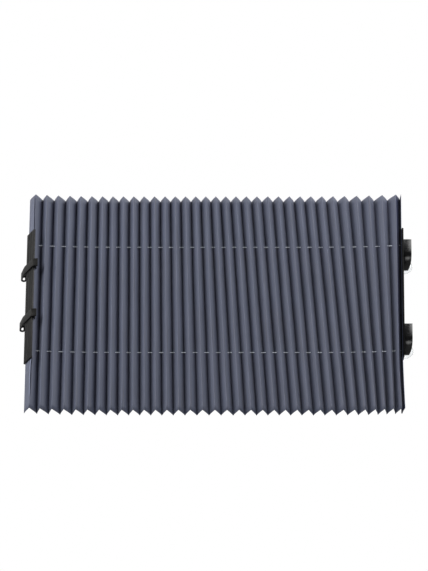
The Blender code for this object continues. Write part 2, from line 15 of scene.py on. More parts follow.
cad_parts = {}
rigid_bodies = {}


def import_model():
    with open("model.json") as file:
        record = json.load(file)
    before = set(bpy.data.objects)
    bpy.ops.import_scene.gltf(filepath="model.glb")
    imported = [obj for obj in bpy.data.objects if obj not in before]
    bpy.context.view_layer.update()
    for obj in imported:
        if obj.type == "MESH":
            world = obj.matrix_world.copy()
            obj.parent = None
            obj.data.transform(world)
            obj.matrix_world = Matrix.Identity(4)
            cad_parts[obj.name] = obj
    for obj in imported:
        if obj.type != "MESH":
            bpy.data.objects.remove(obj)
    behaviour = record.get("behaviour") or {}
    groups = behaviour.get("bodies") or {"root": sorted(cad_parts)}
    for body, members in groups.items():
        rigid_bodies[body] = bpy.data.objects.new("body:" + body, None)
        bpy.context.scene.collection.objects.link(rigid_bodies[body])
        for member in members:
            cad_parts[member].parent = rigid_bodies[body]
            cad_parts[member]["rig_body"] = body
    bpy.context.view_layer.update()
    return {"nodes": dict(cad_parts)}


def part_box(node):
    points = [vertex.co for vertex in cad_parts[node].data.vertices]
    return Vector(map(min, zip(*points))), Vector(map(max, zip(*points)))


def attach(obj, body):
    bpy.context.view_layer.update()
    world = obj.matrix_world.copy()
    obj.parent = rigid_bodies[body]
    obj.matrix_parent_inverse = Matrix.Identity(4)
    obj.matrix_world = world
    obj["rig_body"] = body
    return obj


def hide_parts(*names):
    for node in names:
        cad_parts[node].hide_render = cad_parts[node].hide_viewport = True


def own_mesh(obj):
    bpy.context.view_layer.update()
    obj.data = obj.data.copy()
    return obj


bl_info = {
    "name": "Pleated Windscreen Shade",
    "version": (1, 0, 0),
    "blender": (4, 5, 0),
    "location": "3D View > Sidebar > Shade",
    "description": "Dresses a pleated car windscreen shade with cloth, cords, rails, hooks and cups",
    "category": "Object",
}

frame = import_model()

# The ends of the sheet in Y, and the ends of its left rail as shares of the sheet's length
NEAR_Y, FAR_Y = [corner.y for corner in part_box("pleated_blind")]
RAIL_NEAR, RAIL_FAR = [(corner.y - NEAR_Y) / (FAR_Y - NEAR_Y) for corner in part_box("left_rail")]

# The folds of the cloth, as they are in the frame
CRESTS = 34
LAST_FOLD = 2 * CRESTS - 1
FIRST_CREST_X = -0.44905
LAST_VALLEY_X = 0.45325
LEFT_FOLD_REACH = 0.0150
RIGHT_FOLD_REACH = 0.0025
PANEL_WIDTH = 0.0275
VALLEY_Z = 0.0340
MIDDLE_SAG = 0.0085
SAG_POWER = 6
OPEN_WIDTH = LAST_VALLEY_X - FIRST_CREST_X
HALF_PITCH = OPEN_WIDTH / LAST_FOLD
FOLD_DEPTH = math.sqrt(PANEL_WIDTH**2 - HALF_PITCH**2)
FAR_DRIFT = (-0.0122, 0.0130, -0.0009, 0.0025, -0.0004, 0.0015)
NEAR_DRIFT = (0.0227, -0.0098, 0.0063, -0.0010, 0.0026, -0.0014)
FAR_CREST_LEAN = 0.0042
NEAR_CREST_LEAN = 0.0068
END_SHIFT = 0.0030
END_SHIFT_SHARE = 0.04
END_CREST_ROOM = 0.0060
FIRST_CREST_SLIP = 0.0018
FIRST_CREST_SLIP_REACH = 0.03
CORD_DEPTH_SHARE = 0.45
CORD_STEPS = 120
CORD_SIDES = 10

# Width of the fold under the right clamp strip, which joins the closed pleats to the right end panel
STRIP_ROOM = 0.0027

# How far the last crest and the right end panel lean outward at the near edge, over what share of the
# pleat's length, and the power of the curve
END_CREST_FLARE = (0.0052, 0.22, 1.5)
END_PANEL_FLARE = (0.0042, 0.24, 1.3)

# Unevenness of the folds: its step from one fold to the next, its waves along a pleat and its start
WANDER_PATTERN = (3.7, 5.0, 0.5)
BULGE_PATTERN = (1.9, 3.0, 8.0)
BULGE_UNEVENNESS = 0.5

# Places across a panel, as shares of its width from crest to valley, closer together at the folds
PANEL_STEPS = (0.0, 0.02, 0.05, 0.085, 0.2, 0.36, 0.54, 0.72, 0.87, 0.952, 0.98, 1.0)

# The creases beside the first crest, past the ends of its rail. Each panel that has one is given with the
# crease's two edges, as shares of the panel's width from the crest: -1 is the left end panel, which is
# creased at the far end, and 0 the first panel of the pleats, which is creased at the near end. The slope
# of an edge is such a share too. The near one fades and the far one closes over a share of the length.
CREASES = {-1: (0.035, 0.185), 0: (0.01, 0.13)}
CREASE_SLOPE = 0.012
CREASE_DEPTH = 0.0085
CREASE_FADE = 0.17
CREASE_CLOSE = 0.07

# How far from a fold its painted highlight and painted shade reach, and how strong the painted highlight by
# the creased crest and the painted shade at the right end are, which differ from the usual 1
CREST_HIGHLIGHT_REACH = 0.0011
VALLEY_SHADE_REACH = 0.0045
CREASED_CREST_HIGHLIGHT = 10.0
CREASED_CREST_HIGHLIGHT_REACH = 0.0045
RIGHT_END_SHADE = 1.33

# The stage: how far the floor reaches from the middle, and how far the camera sees
FLOOR_SIZE = 40.0
VIEW_DEPTH = 100.0

# Vertices nearer to each other than this are one
WELD_DISTANCE = 0.000002


# Settings


class ShadeClothSettings(bpy.types.PropertyGroup):
    """Cloth of the pleats"""

    thickness: FloatProperty(
        name="Thickness", description="Thickness of the cloth", default=0.00040, unit="LENGTH"
    )
    rows: IntProperty(name="Rows", description="Rows of faces along a pleat", default=40, min=4)
    crest_radius: FloatProperty(
        name="Crest Radius", description="How far the rounding of a crest reaches", default=0.0011,
        unit="LENGTH",
    )
    valley_radius: FloatProperty(
        name="Valley Radius", description="How far the rounding of a valley reaches", default=0.0009,
        unit="LENGTH",
    )
    bulge: FloatProperty(
        name="Bulge", description="How far a panel stands proud, most of all in its lower half",
        default=0.0008, unit="LENGTH",
    )
    bulge_skew: FloatProperty(
        name="Bulge Skew", description="Over 1 puts the bulge nearer the valley", default=1.6
    )
    wander: FloatProperty(
        name="Wander", description="How far a fold strays from straight", default=0.0005, unit="LENGTH"
    )
    colour: FloatVectorProperty(
        name="Colour", description="Colour of the cloth", subtype="COLOR", default=(0.089, 0.101, 0.151)
    )
    # The left end panel's colour is a paler copy of the cloth's: painted light where the left lamp falls on
    # it
    painted_light_end_colour: FloatVectorProperty(
        name="End Colour", description="Colour of the left end panel", subtype="COLOR",
        default=(0.104, 0.117, 0.172),
    )


class ShadeCordSettings(bpy.types.PropertyGroup):
    """Draw cords"""

    radius: FloatProperty(name="Radius", description="Radius of a cord", default=0.0007, unit="LENGTH")
    colour: FloatVectorProperty(
        name="Colour", description="Colour of the thread", subtype="COLOR", default=(0.86, 0.92, 1.0)
    )


class ShadeMouldedSettings(bpy.types.PropertyGroup):
    """Moulded rails, hooks and brackets"""

    edge: FloatProperty(name="Edge", description="Radius of a moulded edge", default=0.0005, unit="LENGTH")
    bracket_edge: FloatProperty(
        name="Bracket Edge", description="Radius of a bracket's edges", default=0.0009, unit="LENGTH"
    )
    rail_colour: FloatVectorProperty(
        name="Rail Colour", description="Colour of the left rail and its strip", subtype="COLOR",
        default=(0.0050, 0.0047, 0.0044),
    )
    hook_colour: FloatVectorProperty(
        name="Hook Colour", description="Colour of the hook clips", subtype="COLOR",
        default=(0.0120, 0.0115, 0.0110),
    )
    # On the right rail this darker black is painted shade; the brackets have it as their own colour
    bracket_colour: FloatVectorProperty(
        name="Bracket Colour", description="Colour of the brackets and the right rail", subtype="COLOR",
        default=(0.0040, 0.0040, 0.0043),
    )


class ShadeCupSettings(bpy.types.PropertyGroup):
    """Suction cups"""

    steps: IntProperty(name="Steps", description="Faces round a cup", default=72, min=12)
    colour: FloatVectorProperty(
        name="Colour", description="Tint of the clear plastic", subtype="COLOR", default=(0.93, 0.95, 0.96)
    )


class ShadeFastenerSettings(bpy.types.PropertyGroup):
    """Rivets, ferrules and screws"""

    edge: FloatProperty(name="Edge", description="Radius of a turned edge", default=0.00015, unit="LENGTH")
    steel_tone: FloatProperty(name="Steel Tone", description="Grey of the plain steel", default=0.50)
    rivet_tone: FloatProperty(name="Rivet Tone", description="Grey of the blackened rivets", default=0.03)


class ShadeStageSettings(bpy.types.PropertyGroup):
    """Floor, light and camera"""

    elevation: FloatProperty(
        name="Elevation", description="Camera's height over the floor", subtype="ANGLE",
        default=math.radians(53.4),
    )
    azimuth: FloatProperty(
        name="Azimuth", description="Camera's turn to the cup rail's side", subtype="ANGLE",
        default=math.radians(1.1),
    )
    roll: FloatProperty(
        name="Roll", description="Camera's turn about its own line of sight", subtype="ANGLE",
        default=math.radians(-0.88),
    )
    distance: FloatProperty(
        name="Distance", description="Camera's distance from the shade", default=16.5, unit="LENGTH"
    )
    lens: FloatProperty(name="Lens", description="Focal length in millimetres", default=424.0)
    aim: FloatVectorProperty(
        name="Aim", description="Point in the middle of the view", subtype="TRANSLATION",
        default=(-0.0056, 0.0433, 0.0583),
    )
    left_power: FloatProperty(
        name="Left Power", description="Watts of the soft lamp at the left", default=80.0
    )
    right_power: FloatProperty(
        name="Right Power", description="Watts of the soft lamp at the right", default=52.0
    )
    front_power: FloatProperty(name="Front Power", description="Watts of the lamp in front", default=24.0)
    far_power: FloatProperty(
        name="Far Power", description="Watts of the low lamp past the far edge", default=1.5
    )
    sky: FloatProperty(name="Sky", description="Strength of the even light from all round", default=0.09)


SETTINGS = {
    "shade_cloth": ShadeClothSettings,
    "shade_cord": ShadeCordSettings,
    "shade_moulded": ShadeMouldedSettings,
    "shade_cup": ShadeCupSettings,
    "shade_fastener": ShadeFastenerSettings,
    "shade_stage": ShadeStageSettings,
}


# Materials


class Nodes:
    """A short way to add nodes to a material and join them."""

    def __init__(self, name):
        self.material = bpy.data.materials.new(name)
        self.material.use_nodes = True
        self.tree = self.material.node_tree
        self.shader = self.tree.nodes["Principled BSDF"]

    def add(self, kind, inputs=None, **settings):
        made = self.tree.nodes.new("ShaderNode" + kind)
        for key, value in settings.items():
            setattr(made, key, value)
        for key, value in (inputs or {}).items():
            self.put(made.inputs[key], value)
        return made

    def put(self, socket, value):
        if isinstance(value, bpy.types.NodeSocket):
            self.tree.links.new(value, socket)
        else:
            socket.default_value = value

    def finish(self, **inputs):
        """Sets the shader's own sockets, such as Base_Color."""
        for key, value in inputs.items():
            self.put(self.shader.inputs[key.replace("_", " ")], value)
        return self.material

    def stretched(self, source, scale):
        """Coordinates multiplied by a scale along each axis."""
        return self.add("Mapping", {"Vector": source, "Scale": scale}).outputs["Vector"]

    def grain(self, vector, scale, detail=3.0, roughness=0.5):
        inputs = {"Vector": vector, "Scale": scale, "Detail": detail, "Roughness": roughness}
        return self.add("TexNoise", inputs).outputs["Fac"]

    def spread(self, value, low, high, to_low=0.0, to_high=1.0):
        made = self.add("MapRange", {"Value": value, "From Min": low, "From Max": high})
        made.inputs["To Min"].default_value = to_low
        made.inputs["To Max"].default_value = to_high
        return made.outputs["Result"]

    def blend(self, share, first, second):
        made = self.add("Mix", data_type="RGBA")
        self.put(made.inputs["Factor"], share)
        self.put(made.inputs["A"], first)
        self.put(made.inputs["B"], second)
        return made.outputs["Result"]

    def maths(self, operation, first, second=0.0):
        made = self.add("Math", operation=operation)
        self.put(made.inputs[0], first)
        self.put(made.inputs[1], second)
        return made.outputs[0]

    def bump(self, height, distance, strength=1.0, normal=None):
        made = self.add("Bump", {"Height": height, "Distance": distance, "Strength": strength})
        if normal is not None:
            self.put(made.inputs["Normal"], normal)
        return made.outputs["Normal"]


def tinted(colour, factor):
    """A colour made darker or lighter by a factor."""
    return (*[channel * factor for channel in colour], 1.0)


def cloth_material(colour):
    """Coated blue-grey cloth: a plain weave, streaks along the pleats, a painted highlight along each crest
    and painted shade in each valley, in the crease and at the right end."""
    worn_grey = (0.118, 0.112, 0.122, 1.0)
    painted_shade_blue = (0.009, 0.016, 0.058, 1.0)
    weave_scale = 125.0
    nodes = Nodes("coated pleat cloth")
    place = nodes.add("UVMap", uv_map="cut").outputs["UV"]
    streaks = nodes.grain(nodes.stretched(place, (380.0, 7.0, 1.0)), 1.0, 5.0, 0.65)
    clouds = nodes.grain(nodes.stretched(place, (30.0, 9.0, 1.0)), 1.0, 3.0)
    crest = nodes.add("Attribute", attribute_name="crest").outputs["Fac"]
    shade = nodes.blend(nodes.spread(streaks, 0.3, 0.7), tinted(colour, 0.70), tinted(colour, 1.28))
    warm = nodes.grain(nodes.stretched(place, (420.0, 5.0, 1.0)), 1.0, 3.0)
    shade = nodes.blend(nodes.spread(warm, 0.5, 0.72, 0.0, 0.5), shade, worn_grey)
    shade = nodes.blend(nodes.spread(clouds, 0.35, 0.7, 0.0, 0.35), shade, tinted(colour, 1.2))
    # Painted highlight: the crest attribute lightens the cloth along each crest
    shade = nodes.blend(nodes.maths("MULTIPLY", crest, 0.1), shade, tinted(colour, 2.4))
    # Painted shade: the valley attribute darkens the cloth in the valleys, in the crease and at the right
    # end
    valley = nodes.add("Attribute", attribute_name="valley").outputs["Fac"]
    shade = nodes.blend(nodes.maths("MULTIPLY", valley, 0.75), shade, painted_shade_blue)
    threads = {"Vector": place, "Scale": weave_scale, "Distortion": 0.4}
    warp = nodes.add("TexWave", threads, bands_direction="X")
    weft = nodes.add("TexWave", threads, bands_direction="Y")
    weave = nodes.maths("MAXIMUM", warp.outputs["Fac"], weft.outputs["Fac"])
    normal = nodes.bump(weave, 0.00006, 0.5)
    normal = nodes.bump(streaks, 0.00015, 0.6, normal)
    return nodes.finish(
        Base_Color=shade,
        Roughness=nodes.spread(streaks, 0.2, 0.8, 0.50, 0.66),
        Normal=normal,
        Sheen_Weight=0.08,
        Sheen_Roughness=0.5,
    )


def moulded_material(name, colour, roughness, grain_size, grain_depth, gloss=0.2):
    """Moulded black plastic with a fine spark-eroded grain and faint wear."""
    nodes = Nodes(name)
    place = nodes.add("TexCoord").outputs["Object"]
    fine = nodes.grain(place, 1.0 / grain_size, 4.0, 0.65)
    broad = nodes.grain(place, 55.0, 3.0)
    shade = nodes.blend(nodes.spread(broad, 0.35, 0.65), tinted(colour, 0.85), tinted(colour, 1.2))
    shine = nodes.spread(fine, 0.3, 0.7, roughness - 0.06, roughness + 0.08)
    normal = nodes.bump(fine, grain_depth, 0.6)
    return nodes.finish(Base_Color=shade, Roughness=shine, Normal=normal, Specular_IOR_Level=gloss)


def steel_material(name, tone):
    """Steel of one grey tone with fine scuffs."""
    nodes = Nodes(name)
    place = nodes.add("TexCoord").outputs["Object"]
    grey = (tone, tone, tone)
    scuffs = nodes.grain(place, 900.0, 3.0)
    shade = nodes.blend(scuffs, tinted(grey, 0.85), tinted(grey, 1.15))
    return nodes.finish(Base_Color=shade, Metallic=1.0, Roughness=nodes.spread(scuffs, 0.3, 0.7, 0.25, 0.45))


def cord_material(colour):
    """Pale twisted thread, with the twist as slanting ridges round the cord."""
    nodes = Nodes("twisted thread")
    place = nodes.add("TexCoord").outputs["Object"]
    twist = {"Vector": place, "Scale": 160.0, "Distortion": 1.5}
    ridges = nodes.add("TexWave", twist, bands_direction="DIAGONAL").outputs["Fac"]
    shade = nodes.blend(ridges, tinted(colour, 0.7), tinted(colour, 1.1))
    return nodes.finish(Base_Color=shade, Roughness=0.75, Normal=nodes.bump(ridges, 0.0002, 0.8))


def clear_material(colour):
    """Clear soft plastic, slightly cloudy."""
    nodes = Nodes("clear soft plastic")
    place = nodes.add("TexCoord").outputs["Object"]
    haze = nodes.grain(place, 120.0, 2.0)
    return nodes.finish(
        Base_Color=(*colour, 1.0),
        Roughness=nodes.spread(haze, 0.3, 0.7, 0.08, 0.2),
        Transmission_Weight=0.96,
        IOR=1.45,
    )


def floor_material():
    """White floor: the camera sees it white, also through the cups, and the shade sees it dimly lit."""
    nodes = Nodes("white floor")
    nodes.finish(Base_Color=(0.45, 0.45, 0.45, 1.0), Roughness=0.9)
    path = nodes.add("LightPath").outputs
    seen = nodes.maths("MAXIMUM", path["Is Camera Ray"], path["Is Transmission Ray"])
    glow = nodes.add("Emission", {"Color": (1.0, 1.0, 1.0, 1.0), "Strength": 1.0})
    mix = nodes.add("MixShader")
    nodes.put(mix.inputs[0], seen)
    nodes.put(mix.inputs[1], nodes.shader.outputs[0])
    nodes.put(mix.inputs[2], glow.outputs[0])
    output = nodes.tree.nodes["Material Output"]
    nodes.put(output.inputs["Surface"], mix.outputs[0])
    return nodes.material


# Shapes


def link(name, mesh, material):
    """Puts a mesh into the scene as an object of one material."""
    made = bpy.data.objects.new(name, mesh)
    bpy.context.scene.collection.objects.link(made)
    mesh.materials.clear()
    mesh.materials.append(material)
    return made


def apply_modifiers(target):
    """Bakes an object's modifiers into its mesh."""
    graph = bpy.context.evaluated_depsgraph_get()
    mesh = bpy.data.meshes.new_from_object(target.evaluated_get(graph))
    target.modifiers.clear()
    target.data = mesh


def rounded_copy(node, name, material, edge, segments=2):
    """A finely edged piece over a faceted node: its flats are joined up and its edges rounded."""
    mesh = frame["nodes"][node].data.copy()
    shape = bmesh.new()
    shape.from_mesh(mesh)
    bmesh.ops.remove_doubles(shape, verts=shape.verts, dist=WELD_DISTANCE)
    bmesh.ops.dissolve_limit(shape, angle_limit=math.radians(1.0), verts=shape.verts, edges=shape.edges)
    shape.to_mesh(mesh)
    shape.free()
    made = link(name, mesh, material)
    bevel = made.modifiers.new("moulded edges", "BEVEL")
    bevel.width = edge
    bevel.segments = segments
    bevel.limit_method = "ANGLE"
    bevel.angle_limit = math.radians(32)
    bevel.use_clamp_overlap = True
    apply_modifiers(made)
    made.data.shade_smooth()
    made.data.set_sharp_from_angle(angle=math.radians(35))
    return made


def dress(node, name, material, edge):
    """Puts a rounded copy in a node's place, on the node's own body."""
    made = rounded_copy(node, name, material, edge)
    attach(made, frame["nodes"][node]["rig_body"])
    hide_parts(node)
    return made


def sag(x):
    """How far the cloth hangs below its ends at this X."""
    share = min(max((x - FIRST_CREST_X) / OPEN_WIDTH, 0.0), 1.0)
    return MIDDLE_SAG * (1 - abs(2 * share - 1) ** SAG_POWER)


def fold_x(index, drift, lean):
    """X of a fold at one edge of the cloth, counted from the first crest."""
    share = index / LAST_FOLD
    x = FIRST_CREST_X + OPEN_WIDTH * share
    if index in (0, LAST_FOLD):
        return x
    x += sum(height * math.sin(wave * math.pi * share) for wave, height in enumerate(drift, 1))
    x += END_SHIFT * sum(math.exp(-distance / END_SHIFT_SHARE) for distance in (share, 1 - share))
    if index % 2 == 0:
        x += lean * (2 * share - 1)
    return min(x, LAST_VALLEY_X - END_CREST_ROOM)


def flare(lean, along):
    """How far a fold leans outward, given its size, reach and curve."""
    size, reach, power = lean
    return size * max(0.0, 1 - along / reach) ** power


def unevenness(index, along, pattern):
    """A smooth random value from -1 to 1 that belongs to this place of a fold or a panel."""
    step, waves, start = pattern
    return noise.noise(Vector((index * step, along * waves, start)))


def fold_place(index, along, wander):
    """X and Z of a fold, where along goes from 0 at the near edge to 1 at the far edge."""
    crest_z = VALLEY_Z + FOLD_DEPTH
    if index < 0:
        return Vector((FIRST_CREST_X - LEFT_FOLD_REACH, VALLEY_Z))
    if index > LAST_FOLD:
        return Vector((LAST_VALLEY_X + RIGHT_FOLD_REACH + flare(END_PANEL_FLARE, along), crest_z))
    near = fold_x(index, NEAR_DRIFT, NEAR_CREST_LEAN)
    far = fold_x(index, FAR_DRIFT, FAR_CREST_LEAN)
    x = near + (far - near) * along
    z = (crest_z if index % 2 == 0 else VALLEY_Z) - sag((near + far) / 2)
    if 0 < index < LAST_FOLD:
        x += wander * unevenness(index, along, WANDER_PATTERN)
    if index == 0:
        x -= FIRST_CREST_SLIP * min(1.0, max(0.0, RAIL_NEAR - along) / FIRST_CREST_SLIP_REACH)
    if index == LAST_FOLD - 1:
        x += flare(END_CREST_FLARE, along)
    return Vector((x, z))


def panel_points(index, along, cloth):
    """Points across the panel that follows a fold, rounded at its two folds and standing a little proud.

    Each has its place, its share of the width from the crest, and how much painted highlight and painted
    shade it has. The right end panel starts with the fold under its clamp strip.
    """
    start = fold_place(index, along, cloth.wander)
    end = fold_place(index + 1, along, cloth.wander)
    crest_first = index % 2 == 0
    crest, valley = (start, end) if crest_first else (end, start)
    way = valley - crest
    width = way.length
    drop = abs(way.y) / width
    outward = Vector((-way.y, way.x)).normalized()
    if outward.y < 0:
        outward = -outward
    flex = 1.0 + BULGE_UNEVENNESS * unevenness(index, along, BULGE_PATTERN)
    points = []
    for share in steps_across(index):
        proud = outward * cloth.bulge * flex * math.sin(math.pi * share**cloth.bulge_skew)
        point = crest + way * share + proud
        sunk = crease(index, along, share)
        point.y -= sunk
        from_crest = share * width
        from_valley = (1 - share) * width
        if from_crest < cloth.crest_radius:
            point.y -= drop * (cloth.crest_radius - from_crest) ** 2 / (2 * cloth.crest_radius)
        if from_valley < cloth.valley_radius:
            point.y += drop * (cloth.valley_radius - from_valley) ** 2 / (2 * cloth.valley_radius)
        painted_light = painted_crest_highlight(index, along, from_crest)
        dark = painted_fold_shade(index, share, from_valley, sunk)
        points.append((point, share, painted_light, dark))
    if not crest_first:
        points.reverse()
    if index == LAST_FOLD:
        foot = points[0][0] - Vector((STRIP_ROOM, 0.0))
        # The fold under the clamp strip has the right end's painted shade
        points.insert(0, (foot, 1 + STRIP_ROOM / PANEL_WIDTH, 0.0, RIGHT_END_SHADE))
    return points


def steps_across(index):
    """Places across a panel, with more of them where it has a crease."""
    if index not in CREASES:
        return PANEL_STEPS
    low, high = CREASES[index]
    return sorted({*PANEL_STEPS, low, low + CREASE_SLOPE, high - CREASE_SLOPE, high})


def crease(index, along, share):
    """How deep the crease is: left of the first crest at the far end, right of it at the near end."""
    low, high = CREASES.get(index, (0.0, 0.0))
    if not low < share < high:
        return 0.0
    if index < 0:
        return CREASE_DEPTH * min(1.0, (1 - along) / CREASE_CLOSE) if along > RAIL_FAR else 0.0
    return CREASE_DEPTH * max(0.0, 1 - (RAIL_NEAR - along) / CREASE_FADE) if along < RAIL_NEAR else 0.0


def painted_crest_highlight(index, along, from_crest):
    """How much painted highlight a point has: along the crests, and most where the first one is creased."""
    if index == -1 and 0 < RAIL_NEAR - along < CREASE_FADE:
        return CREASED_CREST_HIGHLIGHT * max(0.0, 1 - from_crest / CREASED_CREST_HIGHLIGHT_REACH)
    return max(0.0, 1 - from_crest / CREST_HIGHLIGHT_REACH)


def painted_fold_shade(index, share, from_valley, sunk):
    """How much painted shade a point has: most in the valleys, in a crease and at the right end."""
    # The right end panel and the right side of the last crest get painted shade
    if index >= LAST_FOLD or (index == LAST_FOLD - 1 and share > 0):
        return RIGHT_END_SHADE
    return 1.0 if sunk > 0 else max(0.0, 1 - from_valley / VALLEY_SHADE_REACH)


def pleat_mesh(name, first, last, cloth):
    """Cloth from one fold to another, with the flat cut as its UV map and its painted highlight and painted
    shade.
    """
    rows = []
    cut = []
    highlight_tones = []
    shade_tones = []
    for row in range(cloth.rows + 1):
        along = row / cloth.rows
        y = NEAR_Y + (FAR_Y - NEAR_Y) * along
        line = []
        for index in range(first, last):
            points = panel_points(index, along, cloth)
            for number, (point, share, painted_light, dark) in enumerate(points):
                if number == 0 and index > first:
                    continue
                across = share if index % 2 == 0 else 1 - share
                line.append((point.x, y, point.y))
                cut.append(((index + across) * PANEL_WIDTH, y))
                highlight_tones.append(painted_light)
                shade_tones.append(dark)
        rows.append(line)
    count = len(rows[0])
    mesh = bpy.data.meshes.new(name)
    shape = bmesh.new()
    verts = [[shape.verts.new(place) for place in line] for line in rows]
    shape.verts.index_update()
    layer = shape.loops.layers.uv.new("cut")
    for below, above in zip(verts, verts[1:]):
        for column in range(count - 1):
            face = shape.faces.new((below[column], below[column + 1], above[column + 1], above[column]))
            face.smooth = True
            for loop in face.loops:
                loop[layer].uv = cut[loop.vert.index]
    shape.to_mesh(mesh)
    shape.free()
    # The crest and valley attributes carry the painted highlight and the painted shade to the material
    for key, values in (("crest", highlight_tones), ("valley", shade_tones)):
        attribute = mesh.attributes.new(key, "FLOAT", "POINT")
        attribute.data.foreach_set("value", np.array(values, np.float32))
    return mesh


def thicken(target, thickness):
    """Gives a bare sheet the thickness of cloth, half of it to either side."""
    skin = target.modifiers.new("cloth", "SOLIDIFY")
    skin.thickness = thickness
    skin.offset = 0
    apply_modifiers(target)


def tube_mesh(name, points, radius, sides):
    """A closed round tube along points that run mostly along X."""
    shape = bmesh.new()
    rings = []
    for point in points:
        ring = []
        for side in range(sides):
            angle = 2 * math.pi * side / sides
            y = point.y + radius * math.cos(angle)
            z = point.z + radius * math.sin(angle)
            ring.append(shape.verts.new((point.x, y, z)))
        rings.append(ring)
    for before, after in zip(rings, rings[1:]):
        for side in range(sides):
            beside = (side + 1) % sides
            face = shape.faces.new((before[side], after[side], after[beside], before[beside]))
            face.smooth = True
    shape.faces.new(rings[0])
    shape.faces.new(rings[-1][::-1])
    bmesh.ops.recalc_face_normals(shape, faces=shape.faces)
    mesh = bpy.data.meshes.new(name)
    shape.to_mesh(mesh)
    shape.free()
    return mesh


def turned_mesh(name, profile, centre, steps):
    """A half profile of radius and height, turned round a vertical line through the centre."""
    shape = bmesh.new()
    verts = [shape.verts.new((radius, 0, height)) for radius, height in profile]
    edges = [shape.edges.new(pair) for pair in zip(verts, verts[1:])]
    bmesh.ops.spin(
        shape, geom=verts + edges, cent=(0, 0, 0), axis=(0, 0, 1), angle=2 * math.pi, steps=steps,
        use_merge=True,
    )
    bmesh.ops.remove_doubles(shape, verts=shape.verts, dist=WELD_DISTANCE)
    bmesh.ops.recalc_face_normals(shape, faces=shape.faces)
    bmesh.ops.translate(shape, verts=shape.verts, vec=centre)
    mesh = bpy.data.meshes.new(name)
    shape.to_mesh(mesh)
    shape.free()
    mesh.shade_smooth()
    mesh.set_sharp_from_angle(angle=math.radians(40))
    return mesh


# Operators


def lay_floor():
    mesh = bpy.data.meshes.new("floor")
    shape = bmesh.new()
    bmesh.ops.create_grid(shape, x_segments=1, y_segments=1, size=FLOOR_SIZE)
    shape.to_mesh(mesh)
    shape.free()
    link("floor", mesh, floor_material())


def light_world(scene, strength):
    """Even white light from all round, which the camera sees as plain white."""
    white = (1.0, 1.0, 1.0, 1.0)
    world = scene.world or bpy.data.worlds.new("world")
    scene.world = world
    world.use_nodes = True
    tree = world.node_tree
    sky = tree.nodes["Background"]
    sky.inputs["Color"].default_value = white
    sky.inputs["Strength"].default_value = strength
    seen = tree.nodes.new("ShaderNodeBackground")
    seen.inputs["Color"].default_value = white
    path = tree.nodes.new("ShaderNodeLightPath")
    mix = tree.nodes.new("ShaderNodeMixShader")
    tree.links.new(path.outputs["Is Camera Ray"], mix.inputs[0])
    tree.links.new(sky.outputs[0], mix.inputs[1])
    tree.links.new(seen.outputs[0], mix.inputs[2])
    tree.links.new(mix.outputs[0], tree.nodes["World Output"].inputs["Surface"])


def hang_lamp(scene, name, place, size, power):
    """A round soft lamp that faces the middle of the shade."""
    lamp = bpy.data.lights.new(name, "AREA")
    lamp.shape = "DISK"
    lamp.size = size
    lamp.energy = power
    made = bpy.data.objects.new(name, lamp)
    made.location = place
    made.rotation_euler = (-made.location).to_track_quat("-Z", "Y").to_euler()
    scene.collection.objects.link(made)


def set_camera(scene, stage):
    camera = bpy.data.objects.new("camera", bpy.data.cameras.new("camera"))
    aim = Vector(stage.aim)
    turn = Matrix.Rotation(stage.azimuth, 4, "Z") @ Matrix.Rotation(math.pi / 2 - stage.elevation, 4, "X")
    turn = turn @ Matrix.Rotation(stage.roll, 4, "Z")
    camera.location = aim + turn.to_3x3() @ Vector((0, 0, stage.distance))
    camera.rotation_euler = turn.to_euler()
    camera.data.lens = stage.lens
    camera.data.clip_end = VIEW_DEPTH
    scene.collection.objects.link(camera)
    scene.camera = camera


class SHADE_OT_stage(bpy.types.Operator):
    """Add the white floor, the soft lights and the camera"""

    bl_idname = "shade.stage"
    bl_label = "Stage"

    def execute(self, context):
        scene = context.scene
        stage = scene.shade_stage
        scene.view_settings.view_transform = "Standard"
        lay_floor()
        light_world(scene, stage.sky)
        for name, place, size, power in (
            ("left_lamp", (-2.2, 0.8, 1.5), 2.6, stage.left_power),
            ("right_lamp", (1.5, 1.6, 1.2), 1.8, stage.right_power),
            ("front_lamp", (0.6, -2.5, 1.3), 1.5, stage.front_power),
            ("far_lamp", (0.2, 1.05, 0.5), 0.5, stage.far_power),
        ):
            hang_lamp(scene, name, place, size, power)
        set_camera(scene, stage)
        return {"FINISHED"}


class SHADE_OT_cloth(bpy.types.Operator):
    """Add the pleated cloth: the part that closes up, and the end panel in each rail"""

    bl_idname = "shade.cloth"
    bl_label = "Pleated Cloth"

    def execute(self, context):
        cloth = context.scene.shade_cloth
        finish = cloth_material(cloth.colour)
        panels = link("pleats", pleat_mesh("pleats", 0, LAST_FOLD, cloth), finish)
        # A paler copy of the cloth for the left end panel: painted light
        painted_light = cloth_material(cloth.painted_light_end_colour)
        left = link("left_end_panel", pleat_mesh("left_end_panel", -1, 0, cloth), painted_light)
        last_panel = pleat_mesh("right_end_panel", LAST_FOLD, LAST_FOLD + 1, cloth)
        right = link("right_end_panel", last_panel, finish)
        for piece, body, width in (
            (panels, "left_end", LAST_FOLD * PANEL_WIDTH),
            (left, "left_end", math.hypot(LEFT_FOLD_REACH, FOLD_DEPTH)),
            (right, "right_end", STRIP_ROOM + math.hypot(RIGHT_FOLD_REACH, FOLD_DEPTH)),
        ):
            thicken(piece, cloth.thickness)
            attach(piece, body)
            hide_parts("pleated_blind")
        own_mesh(panels)
        return {"FINISHED"}


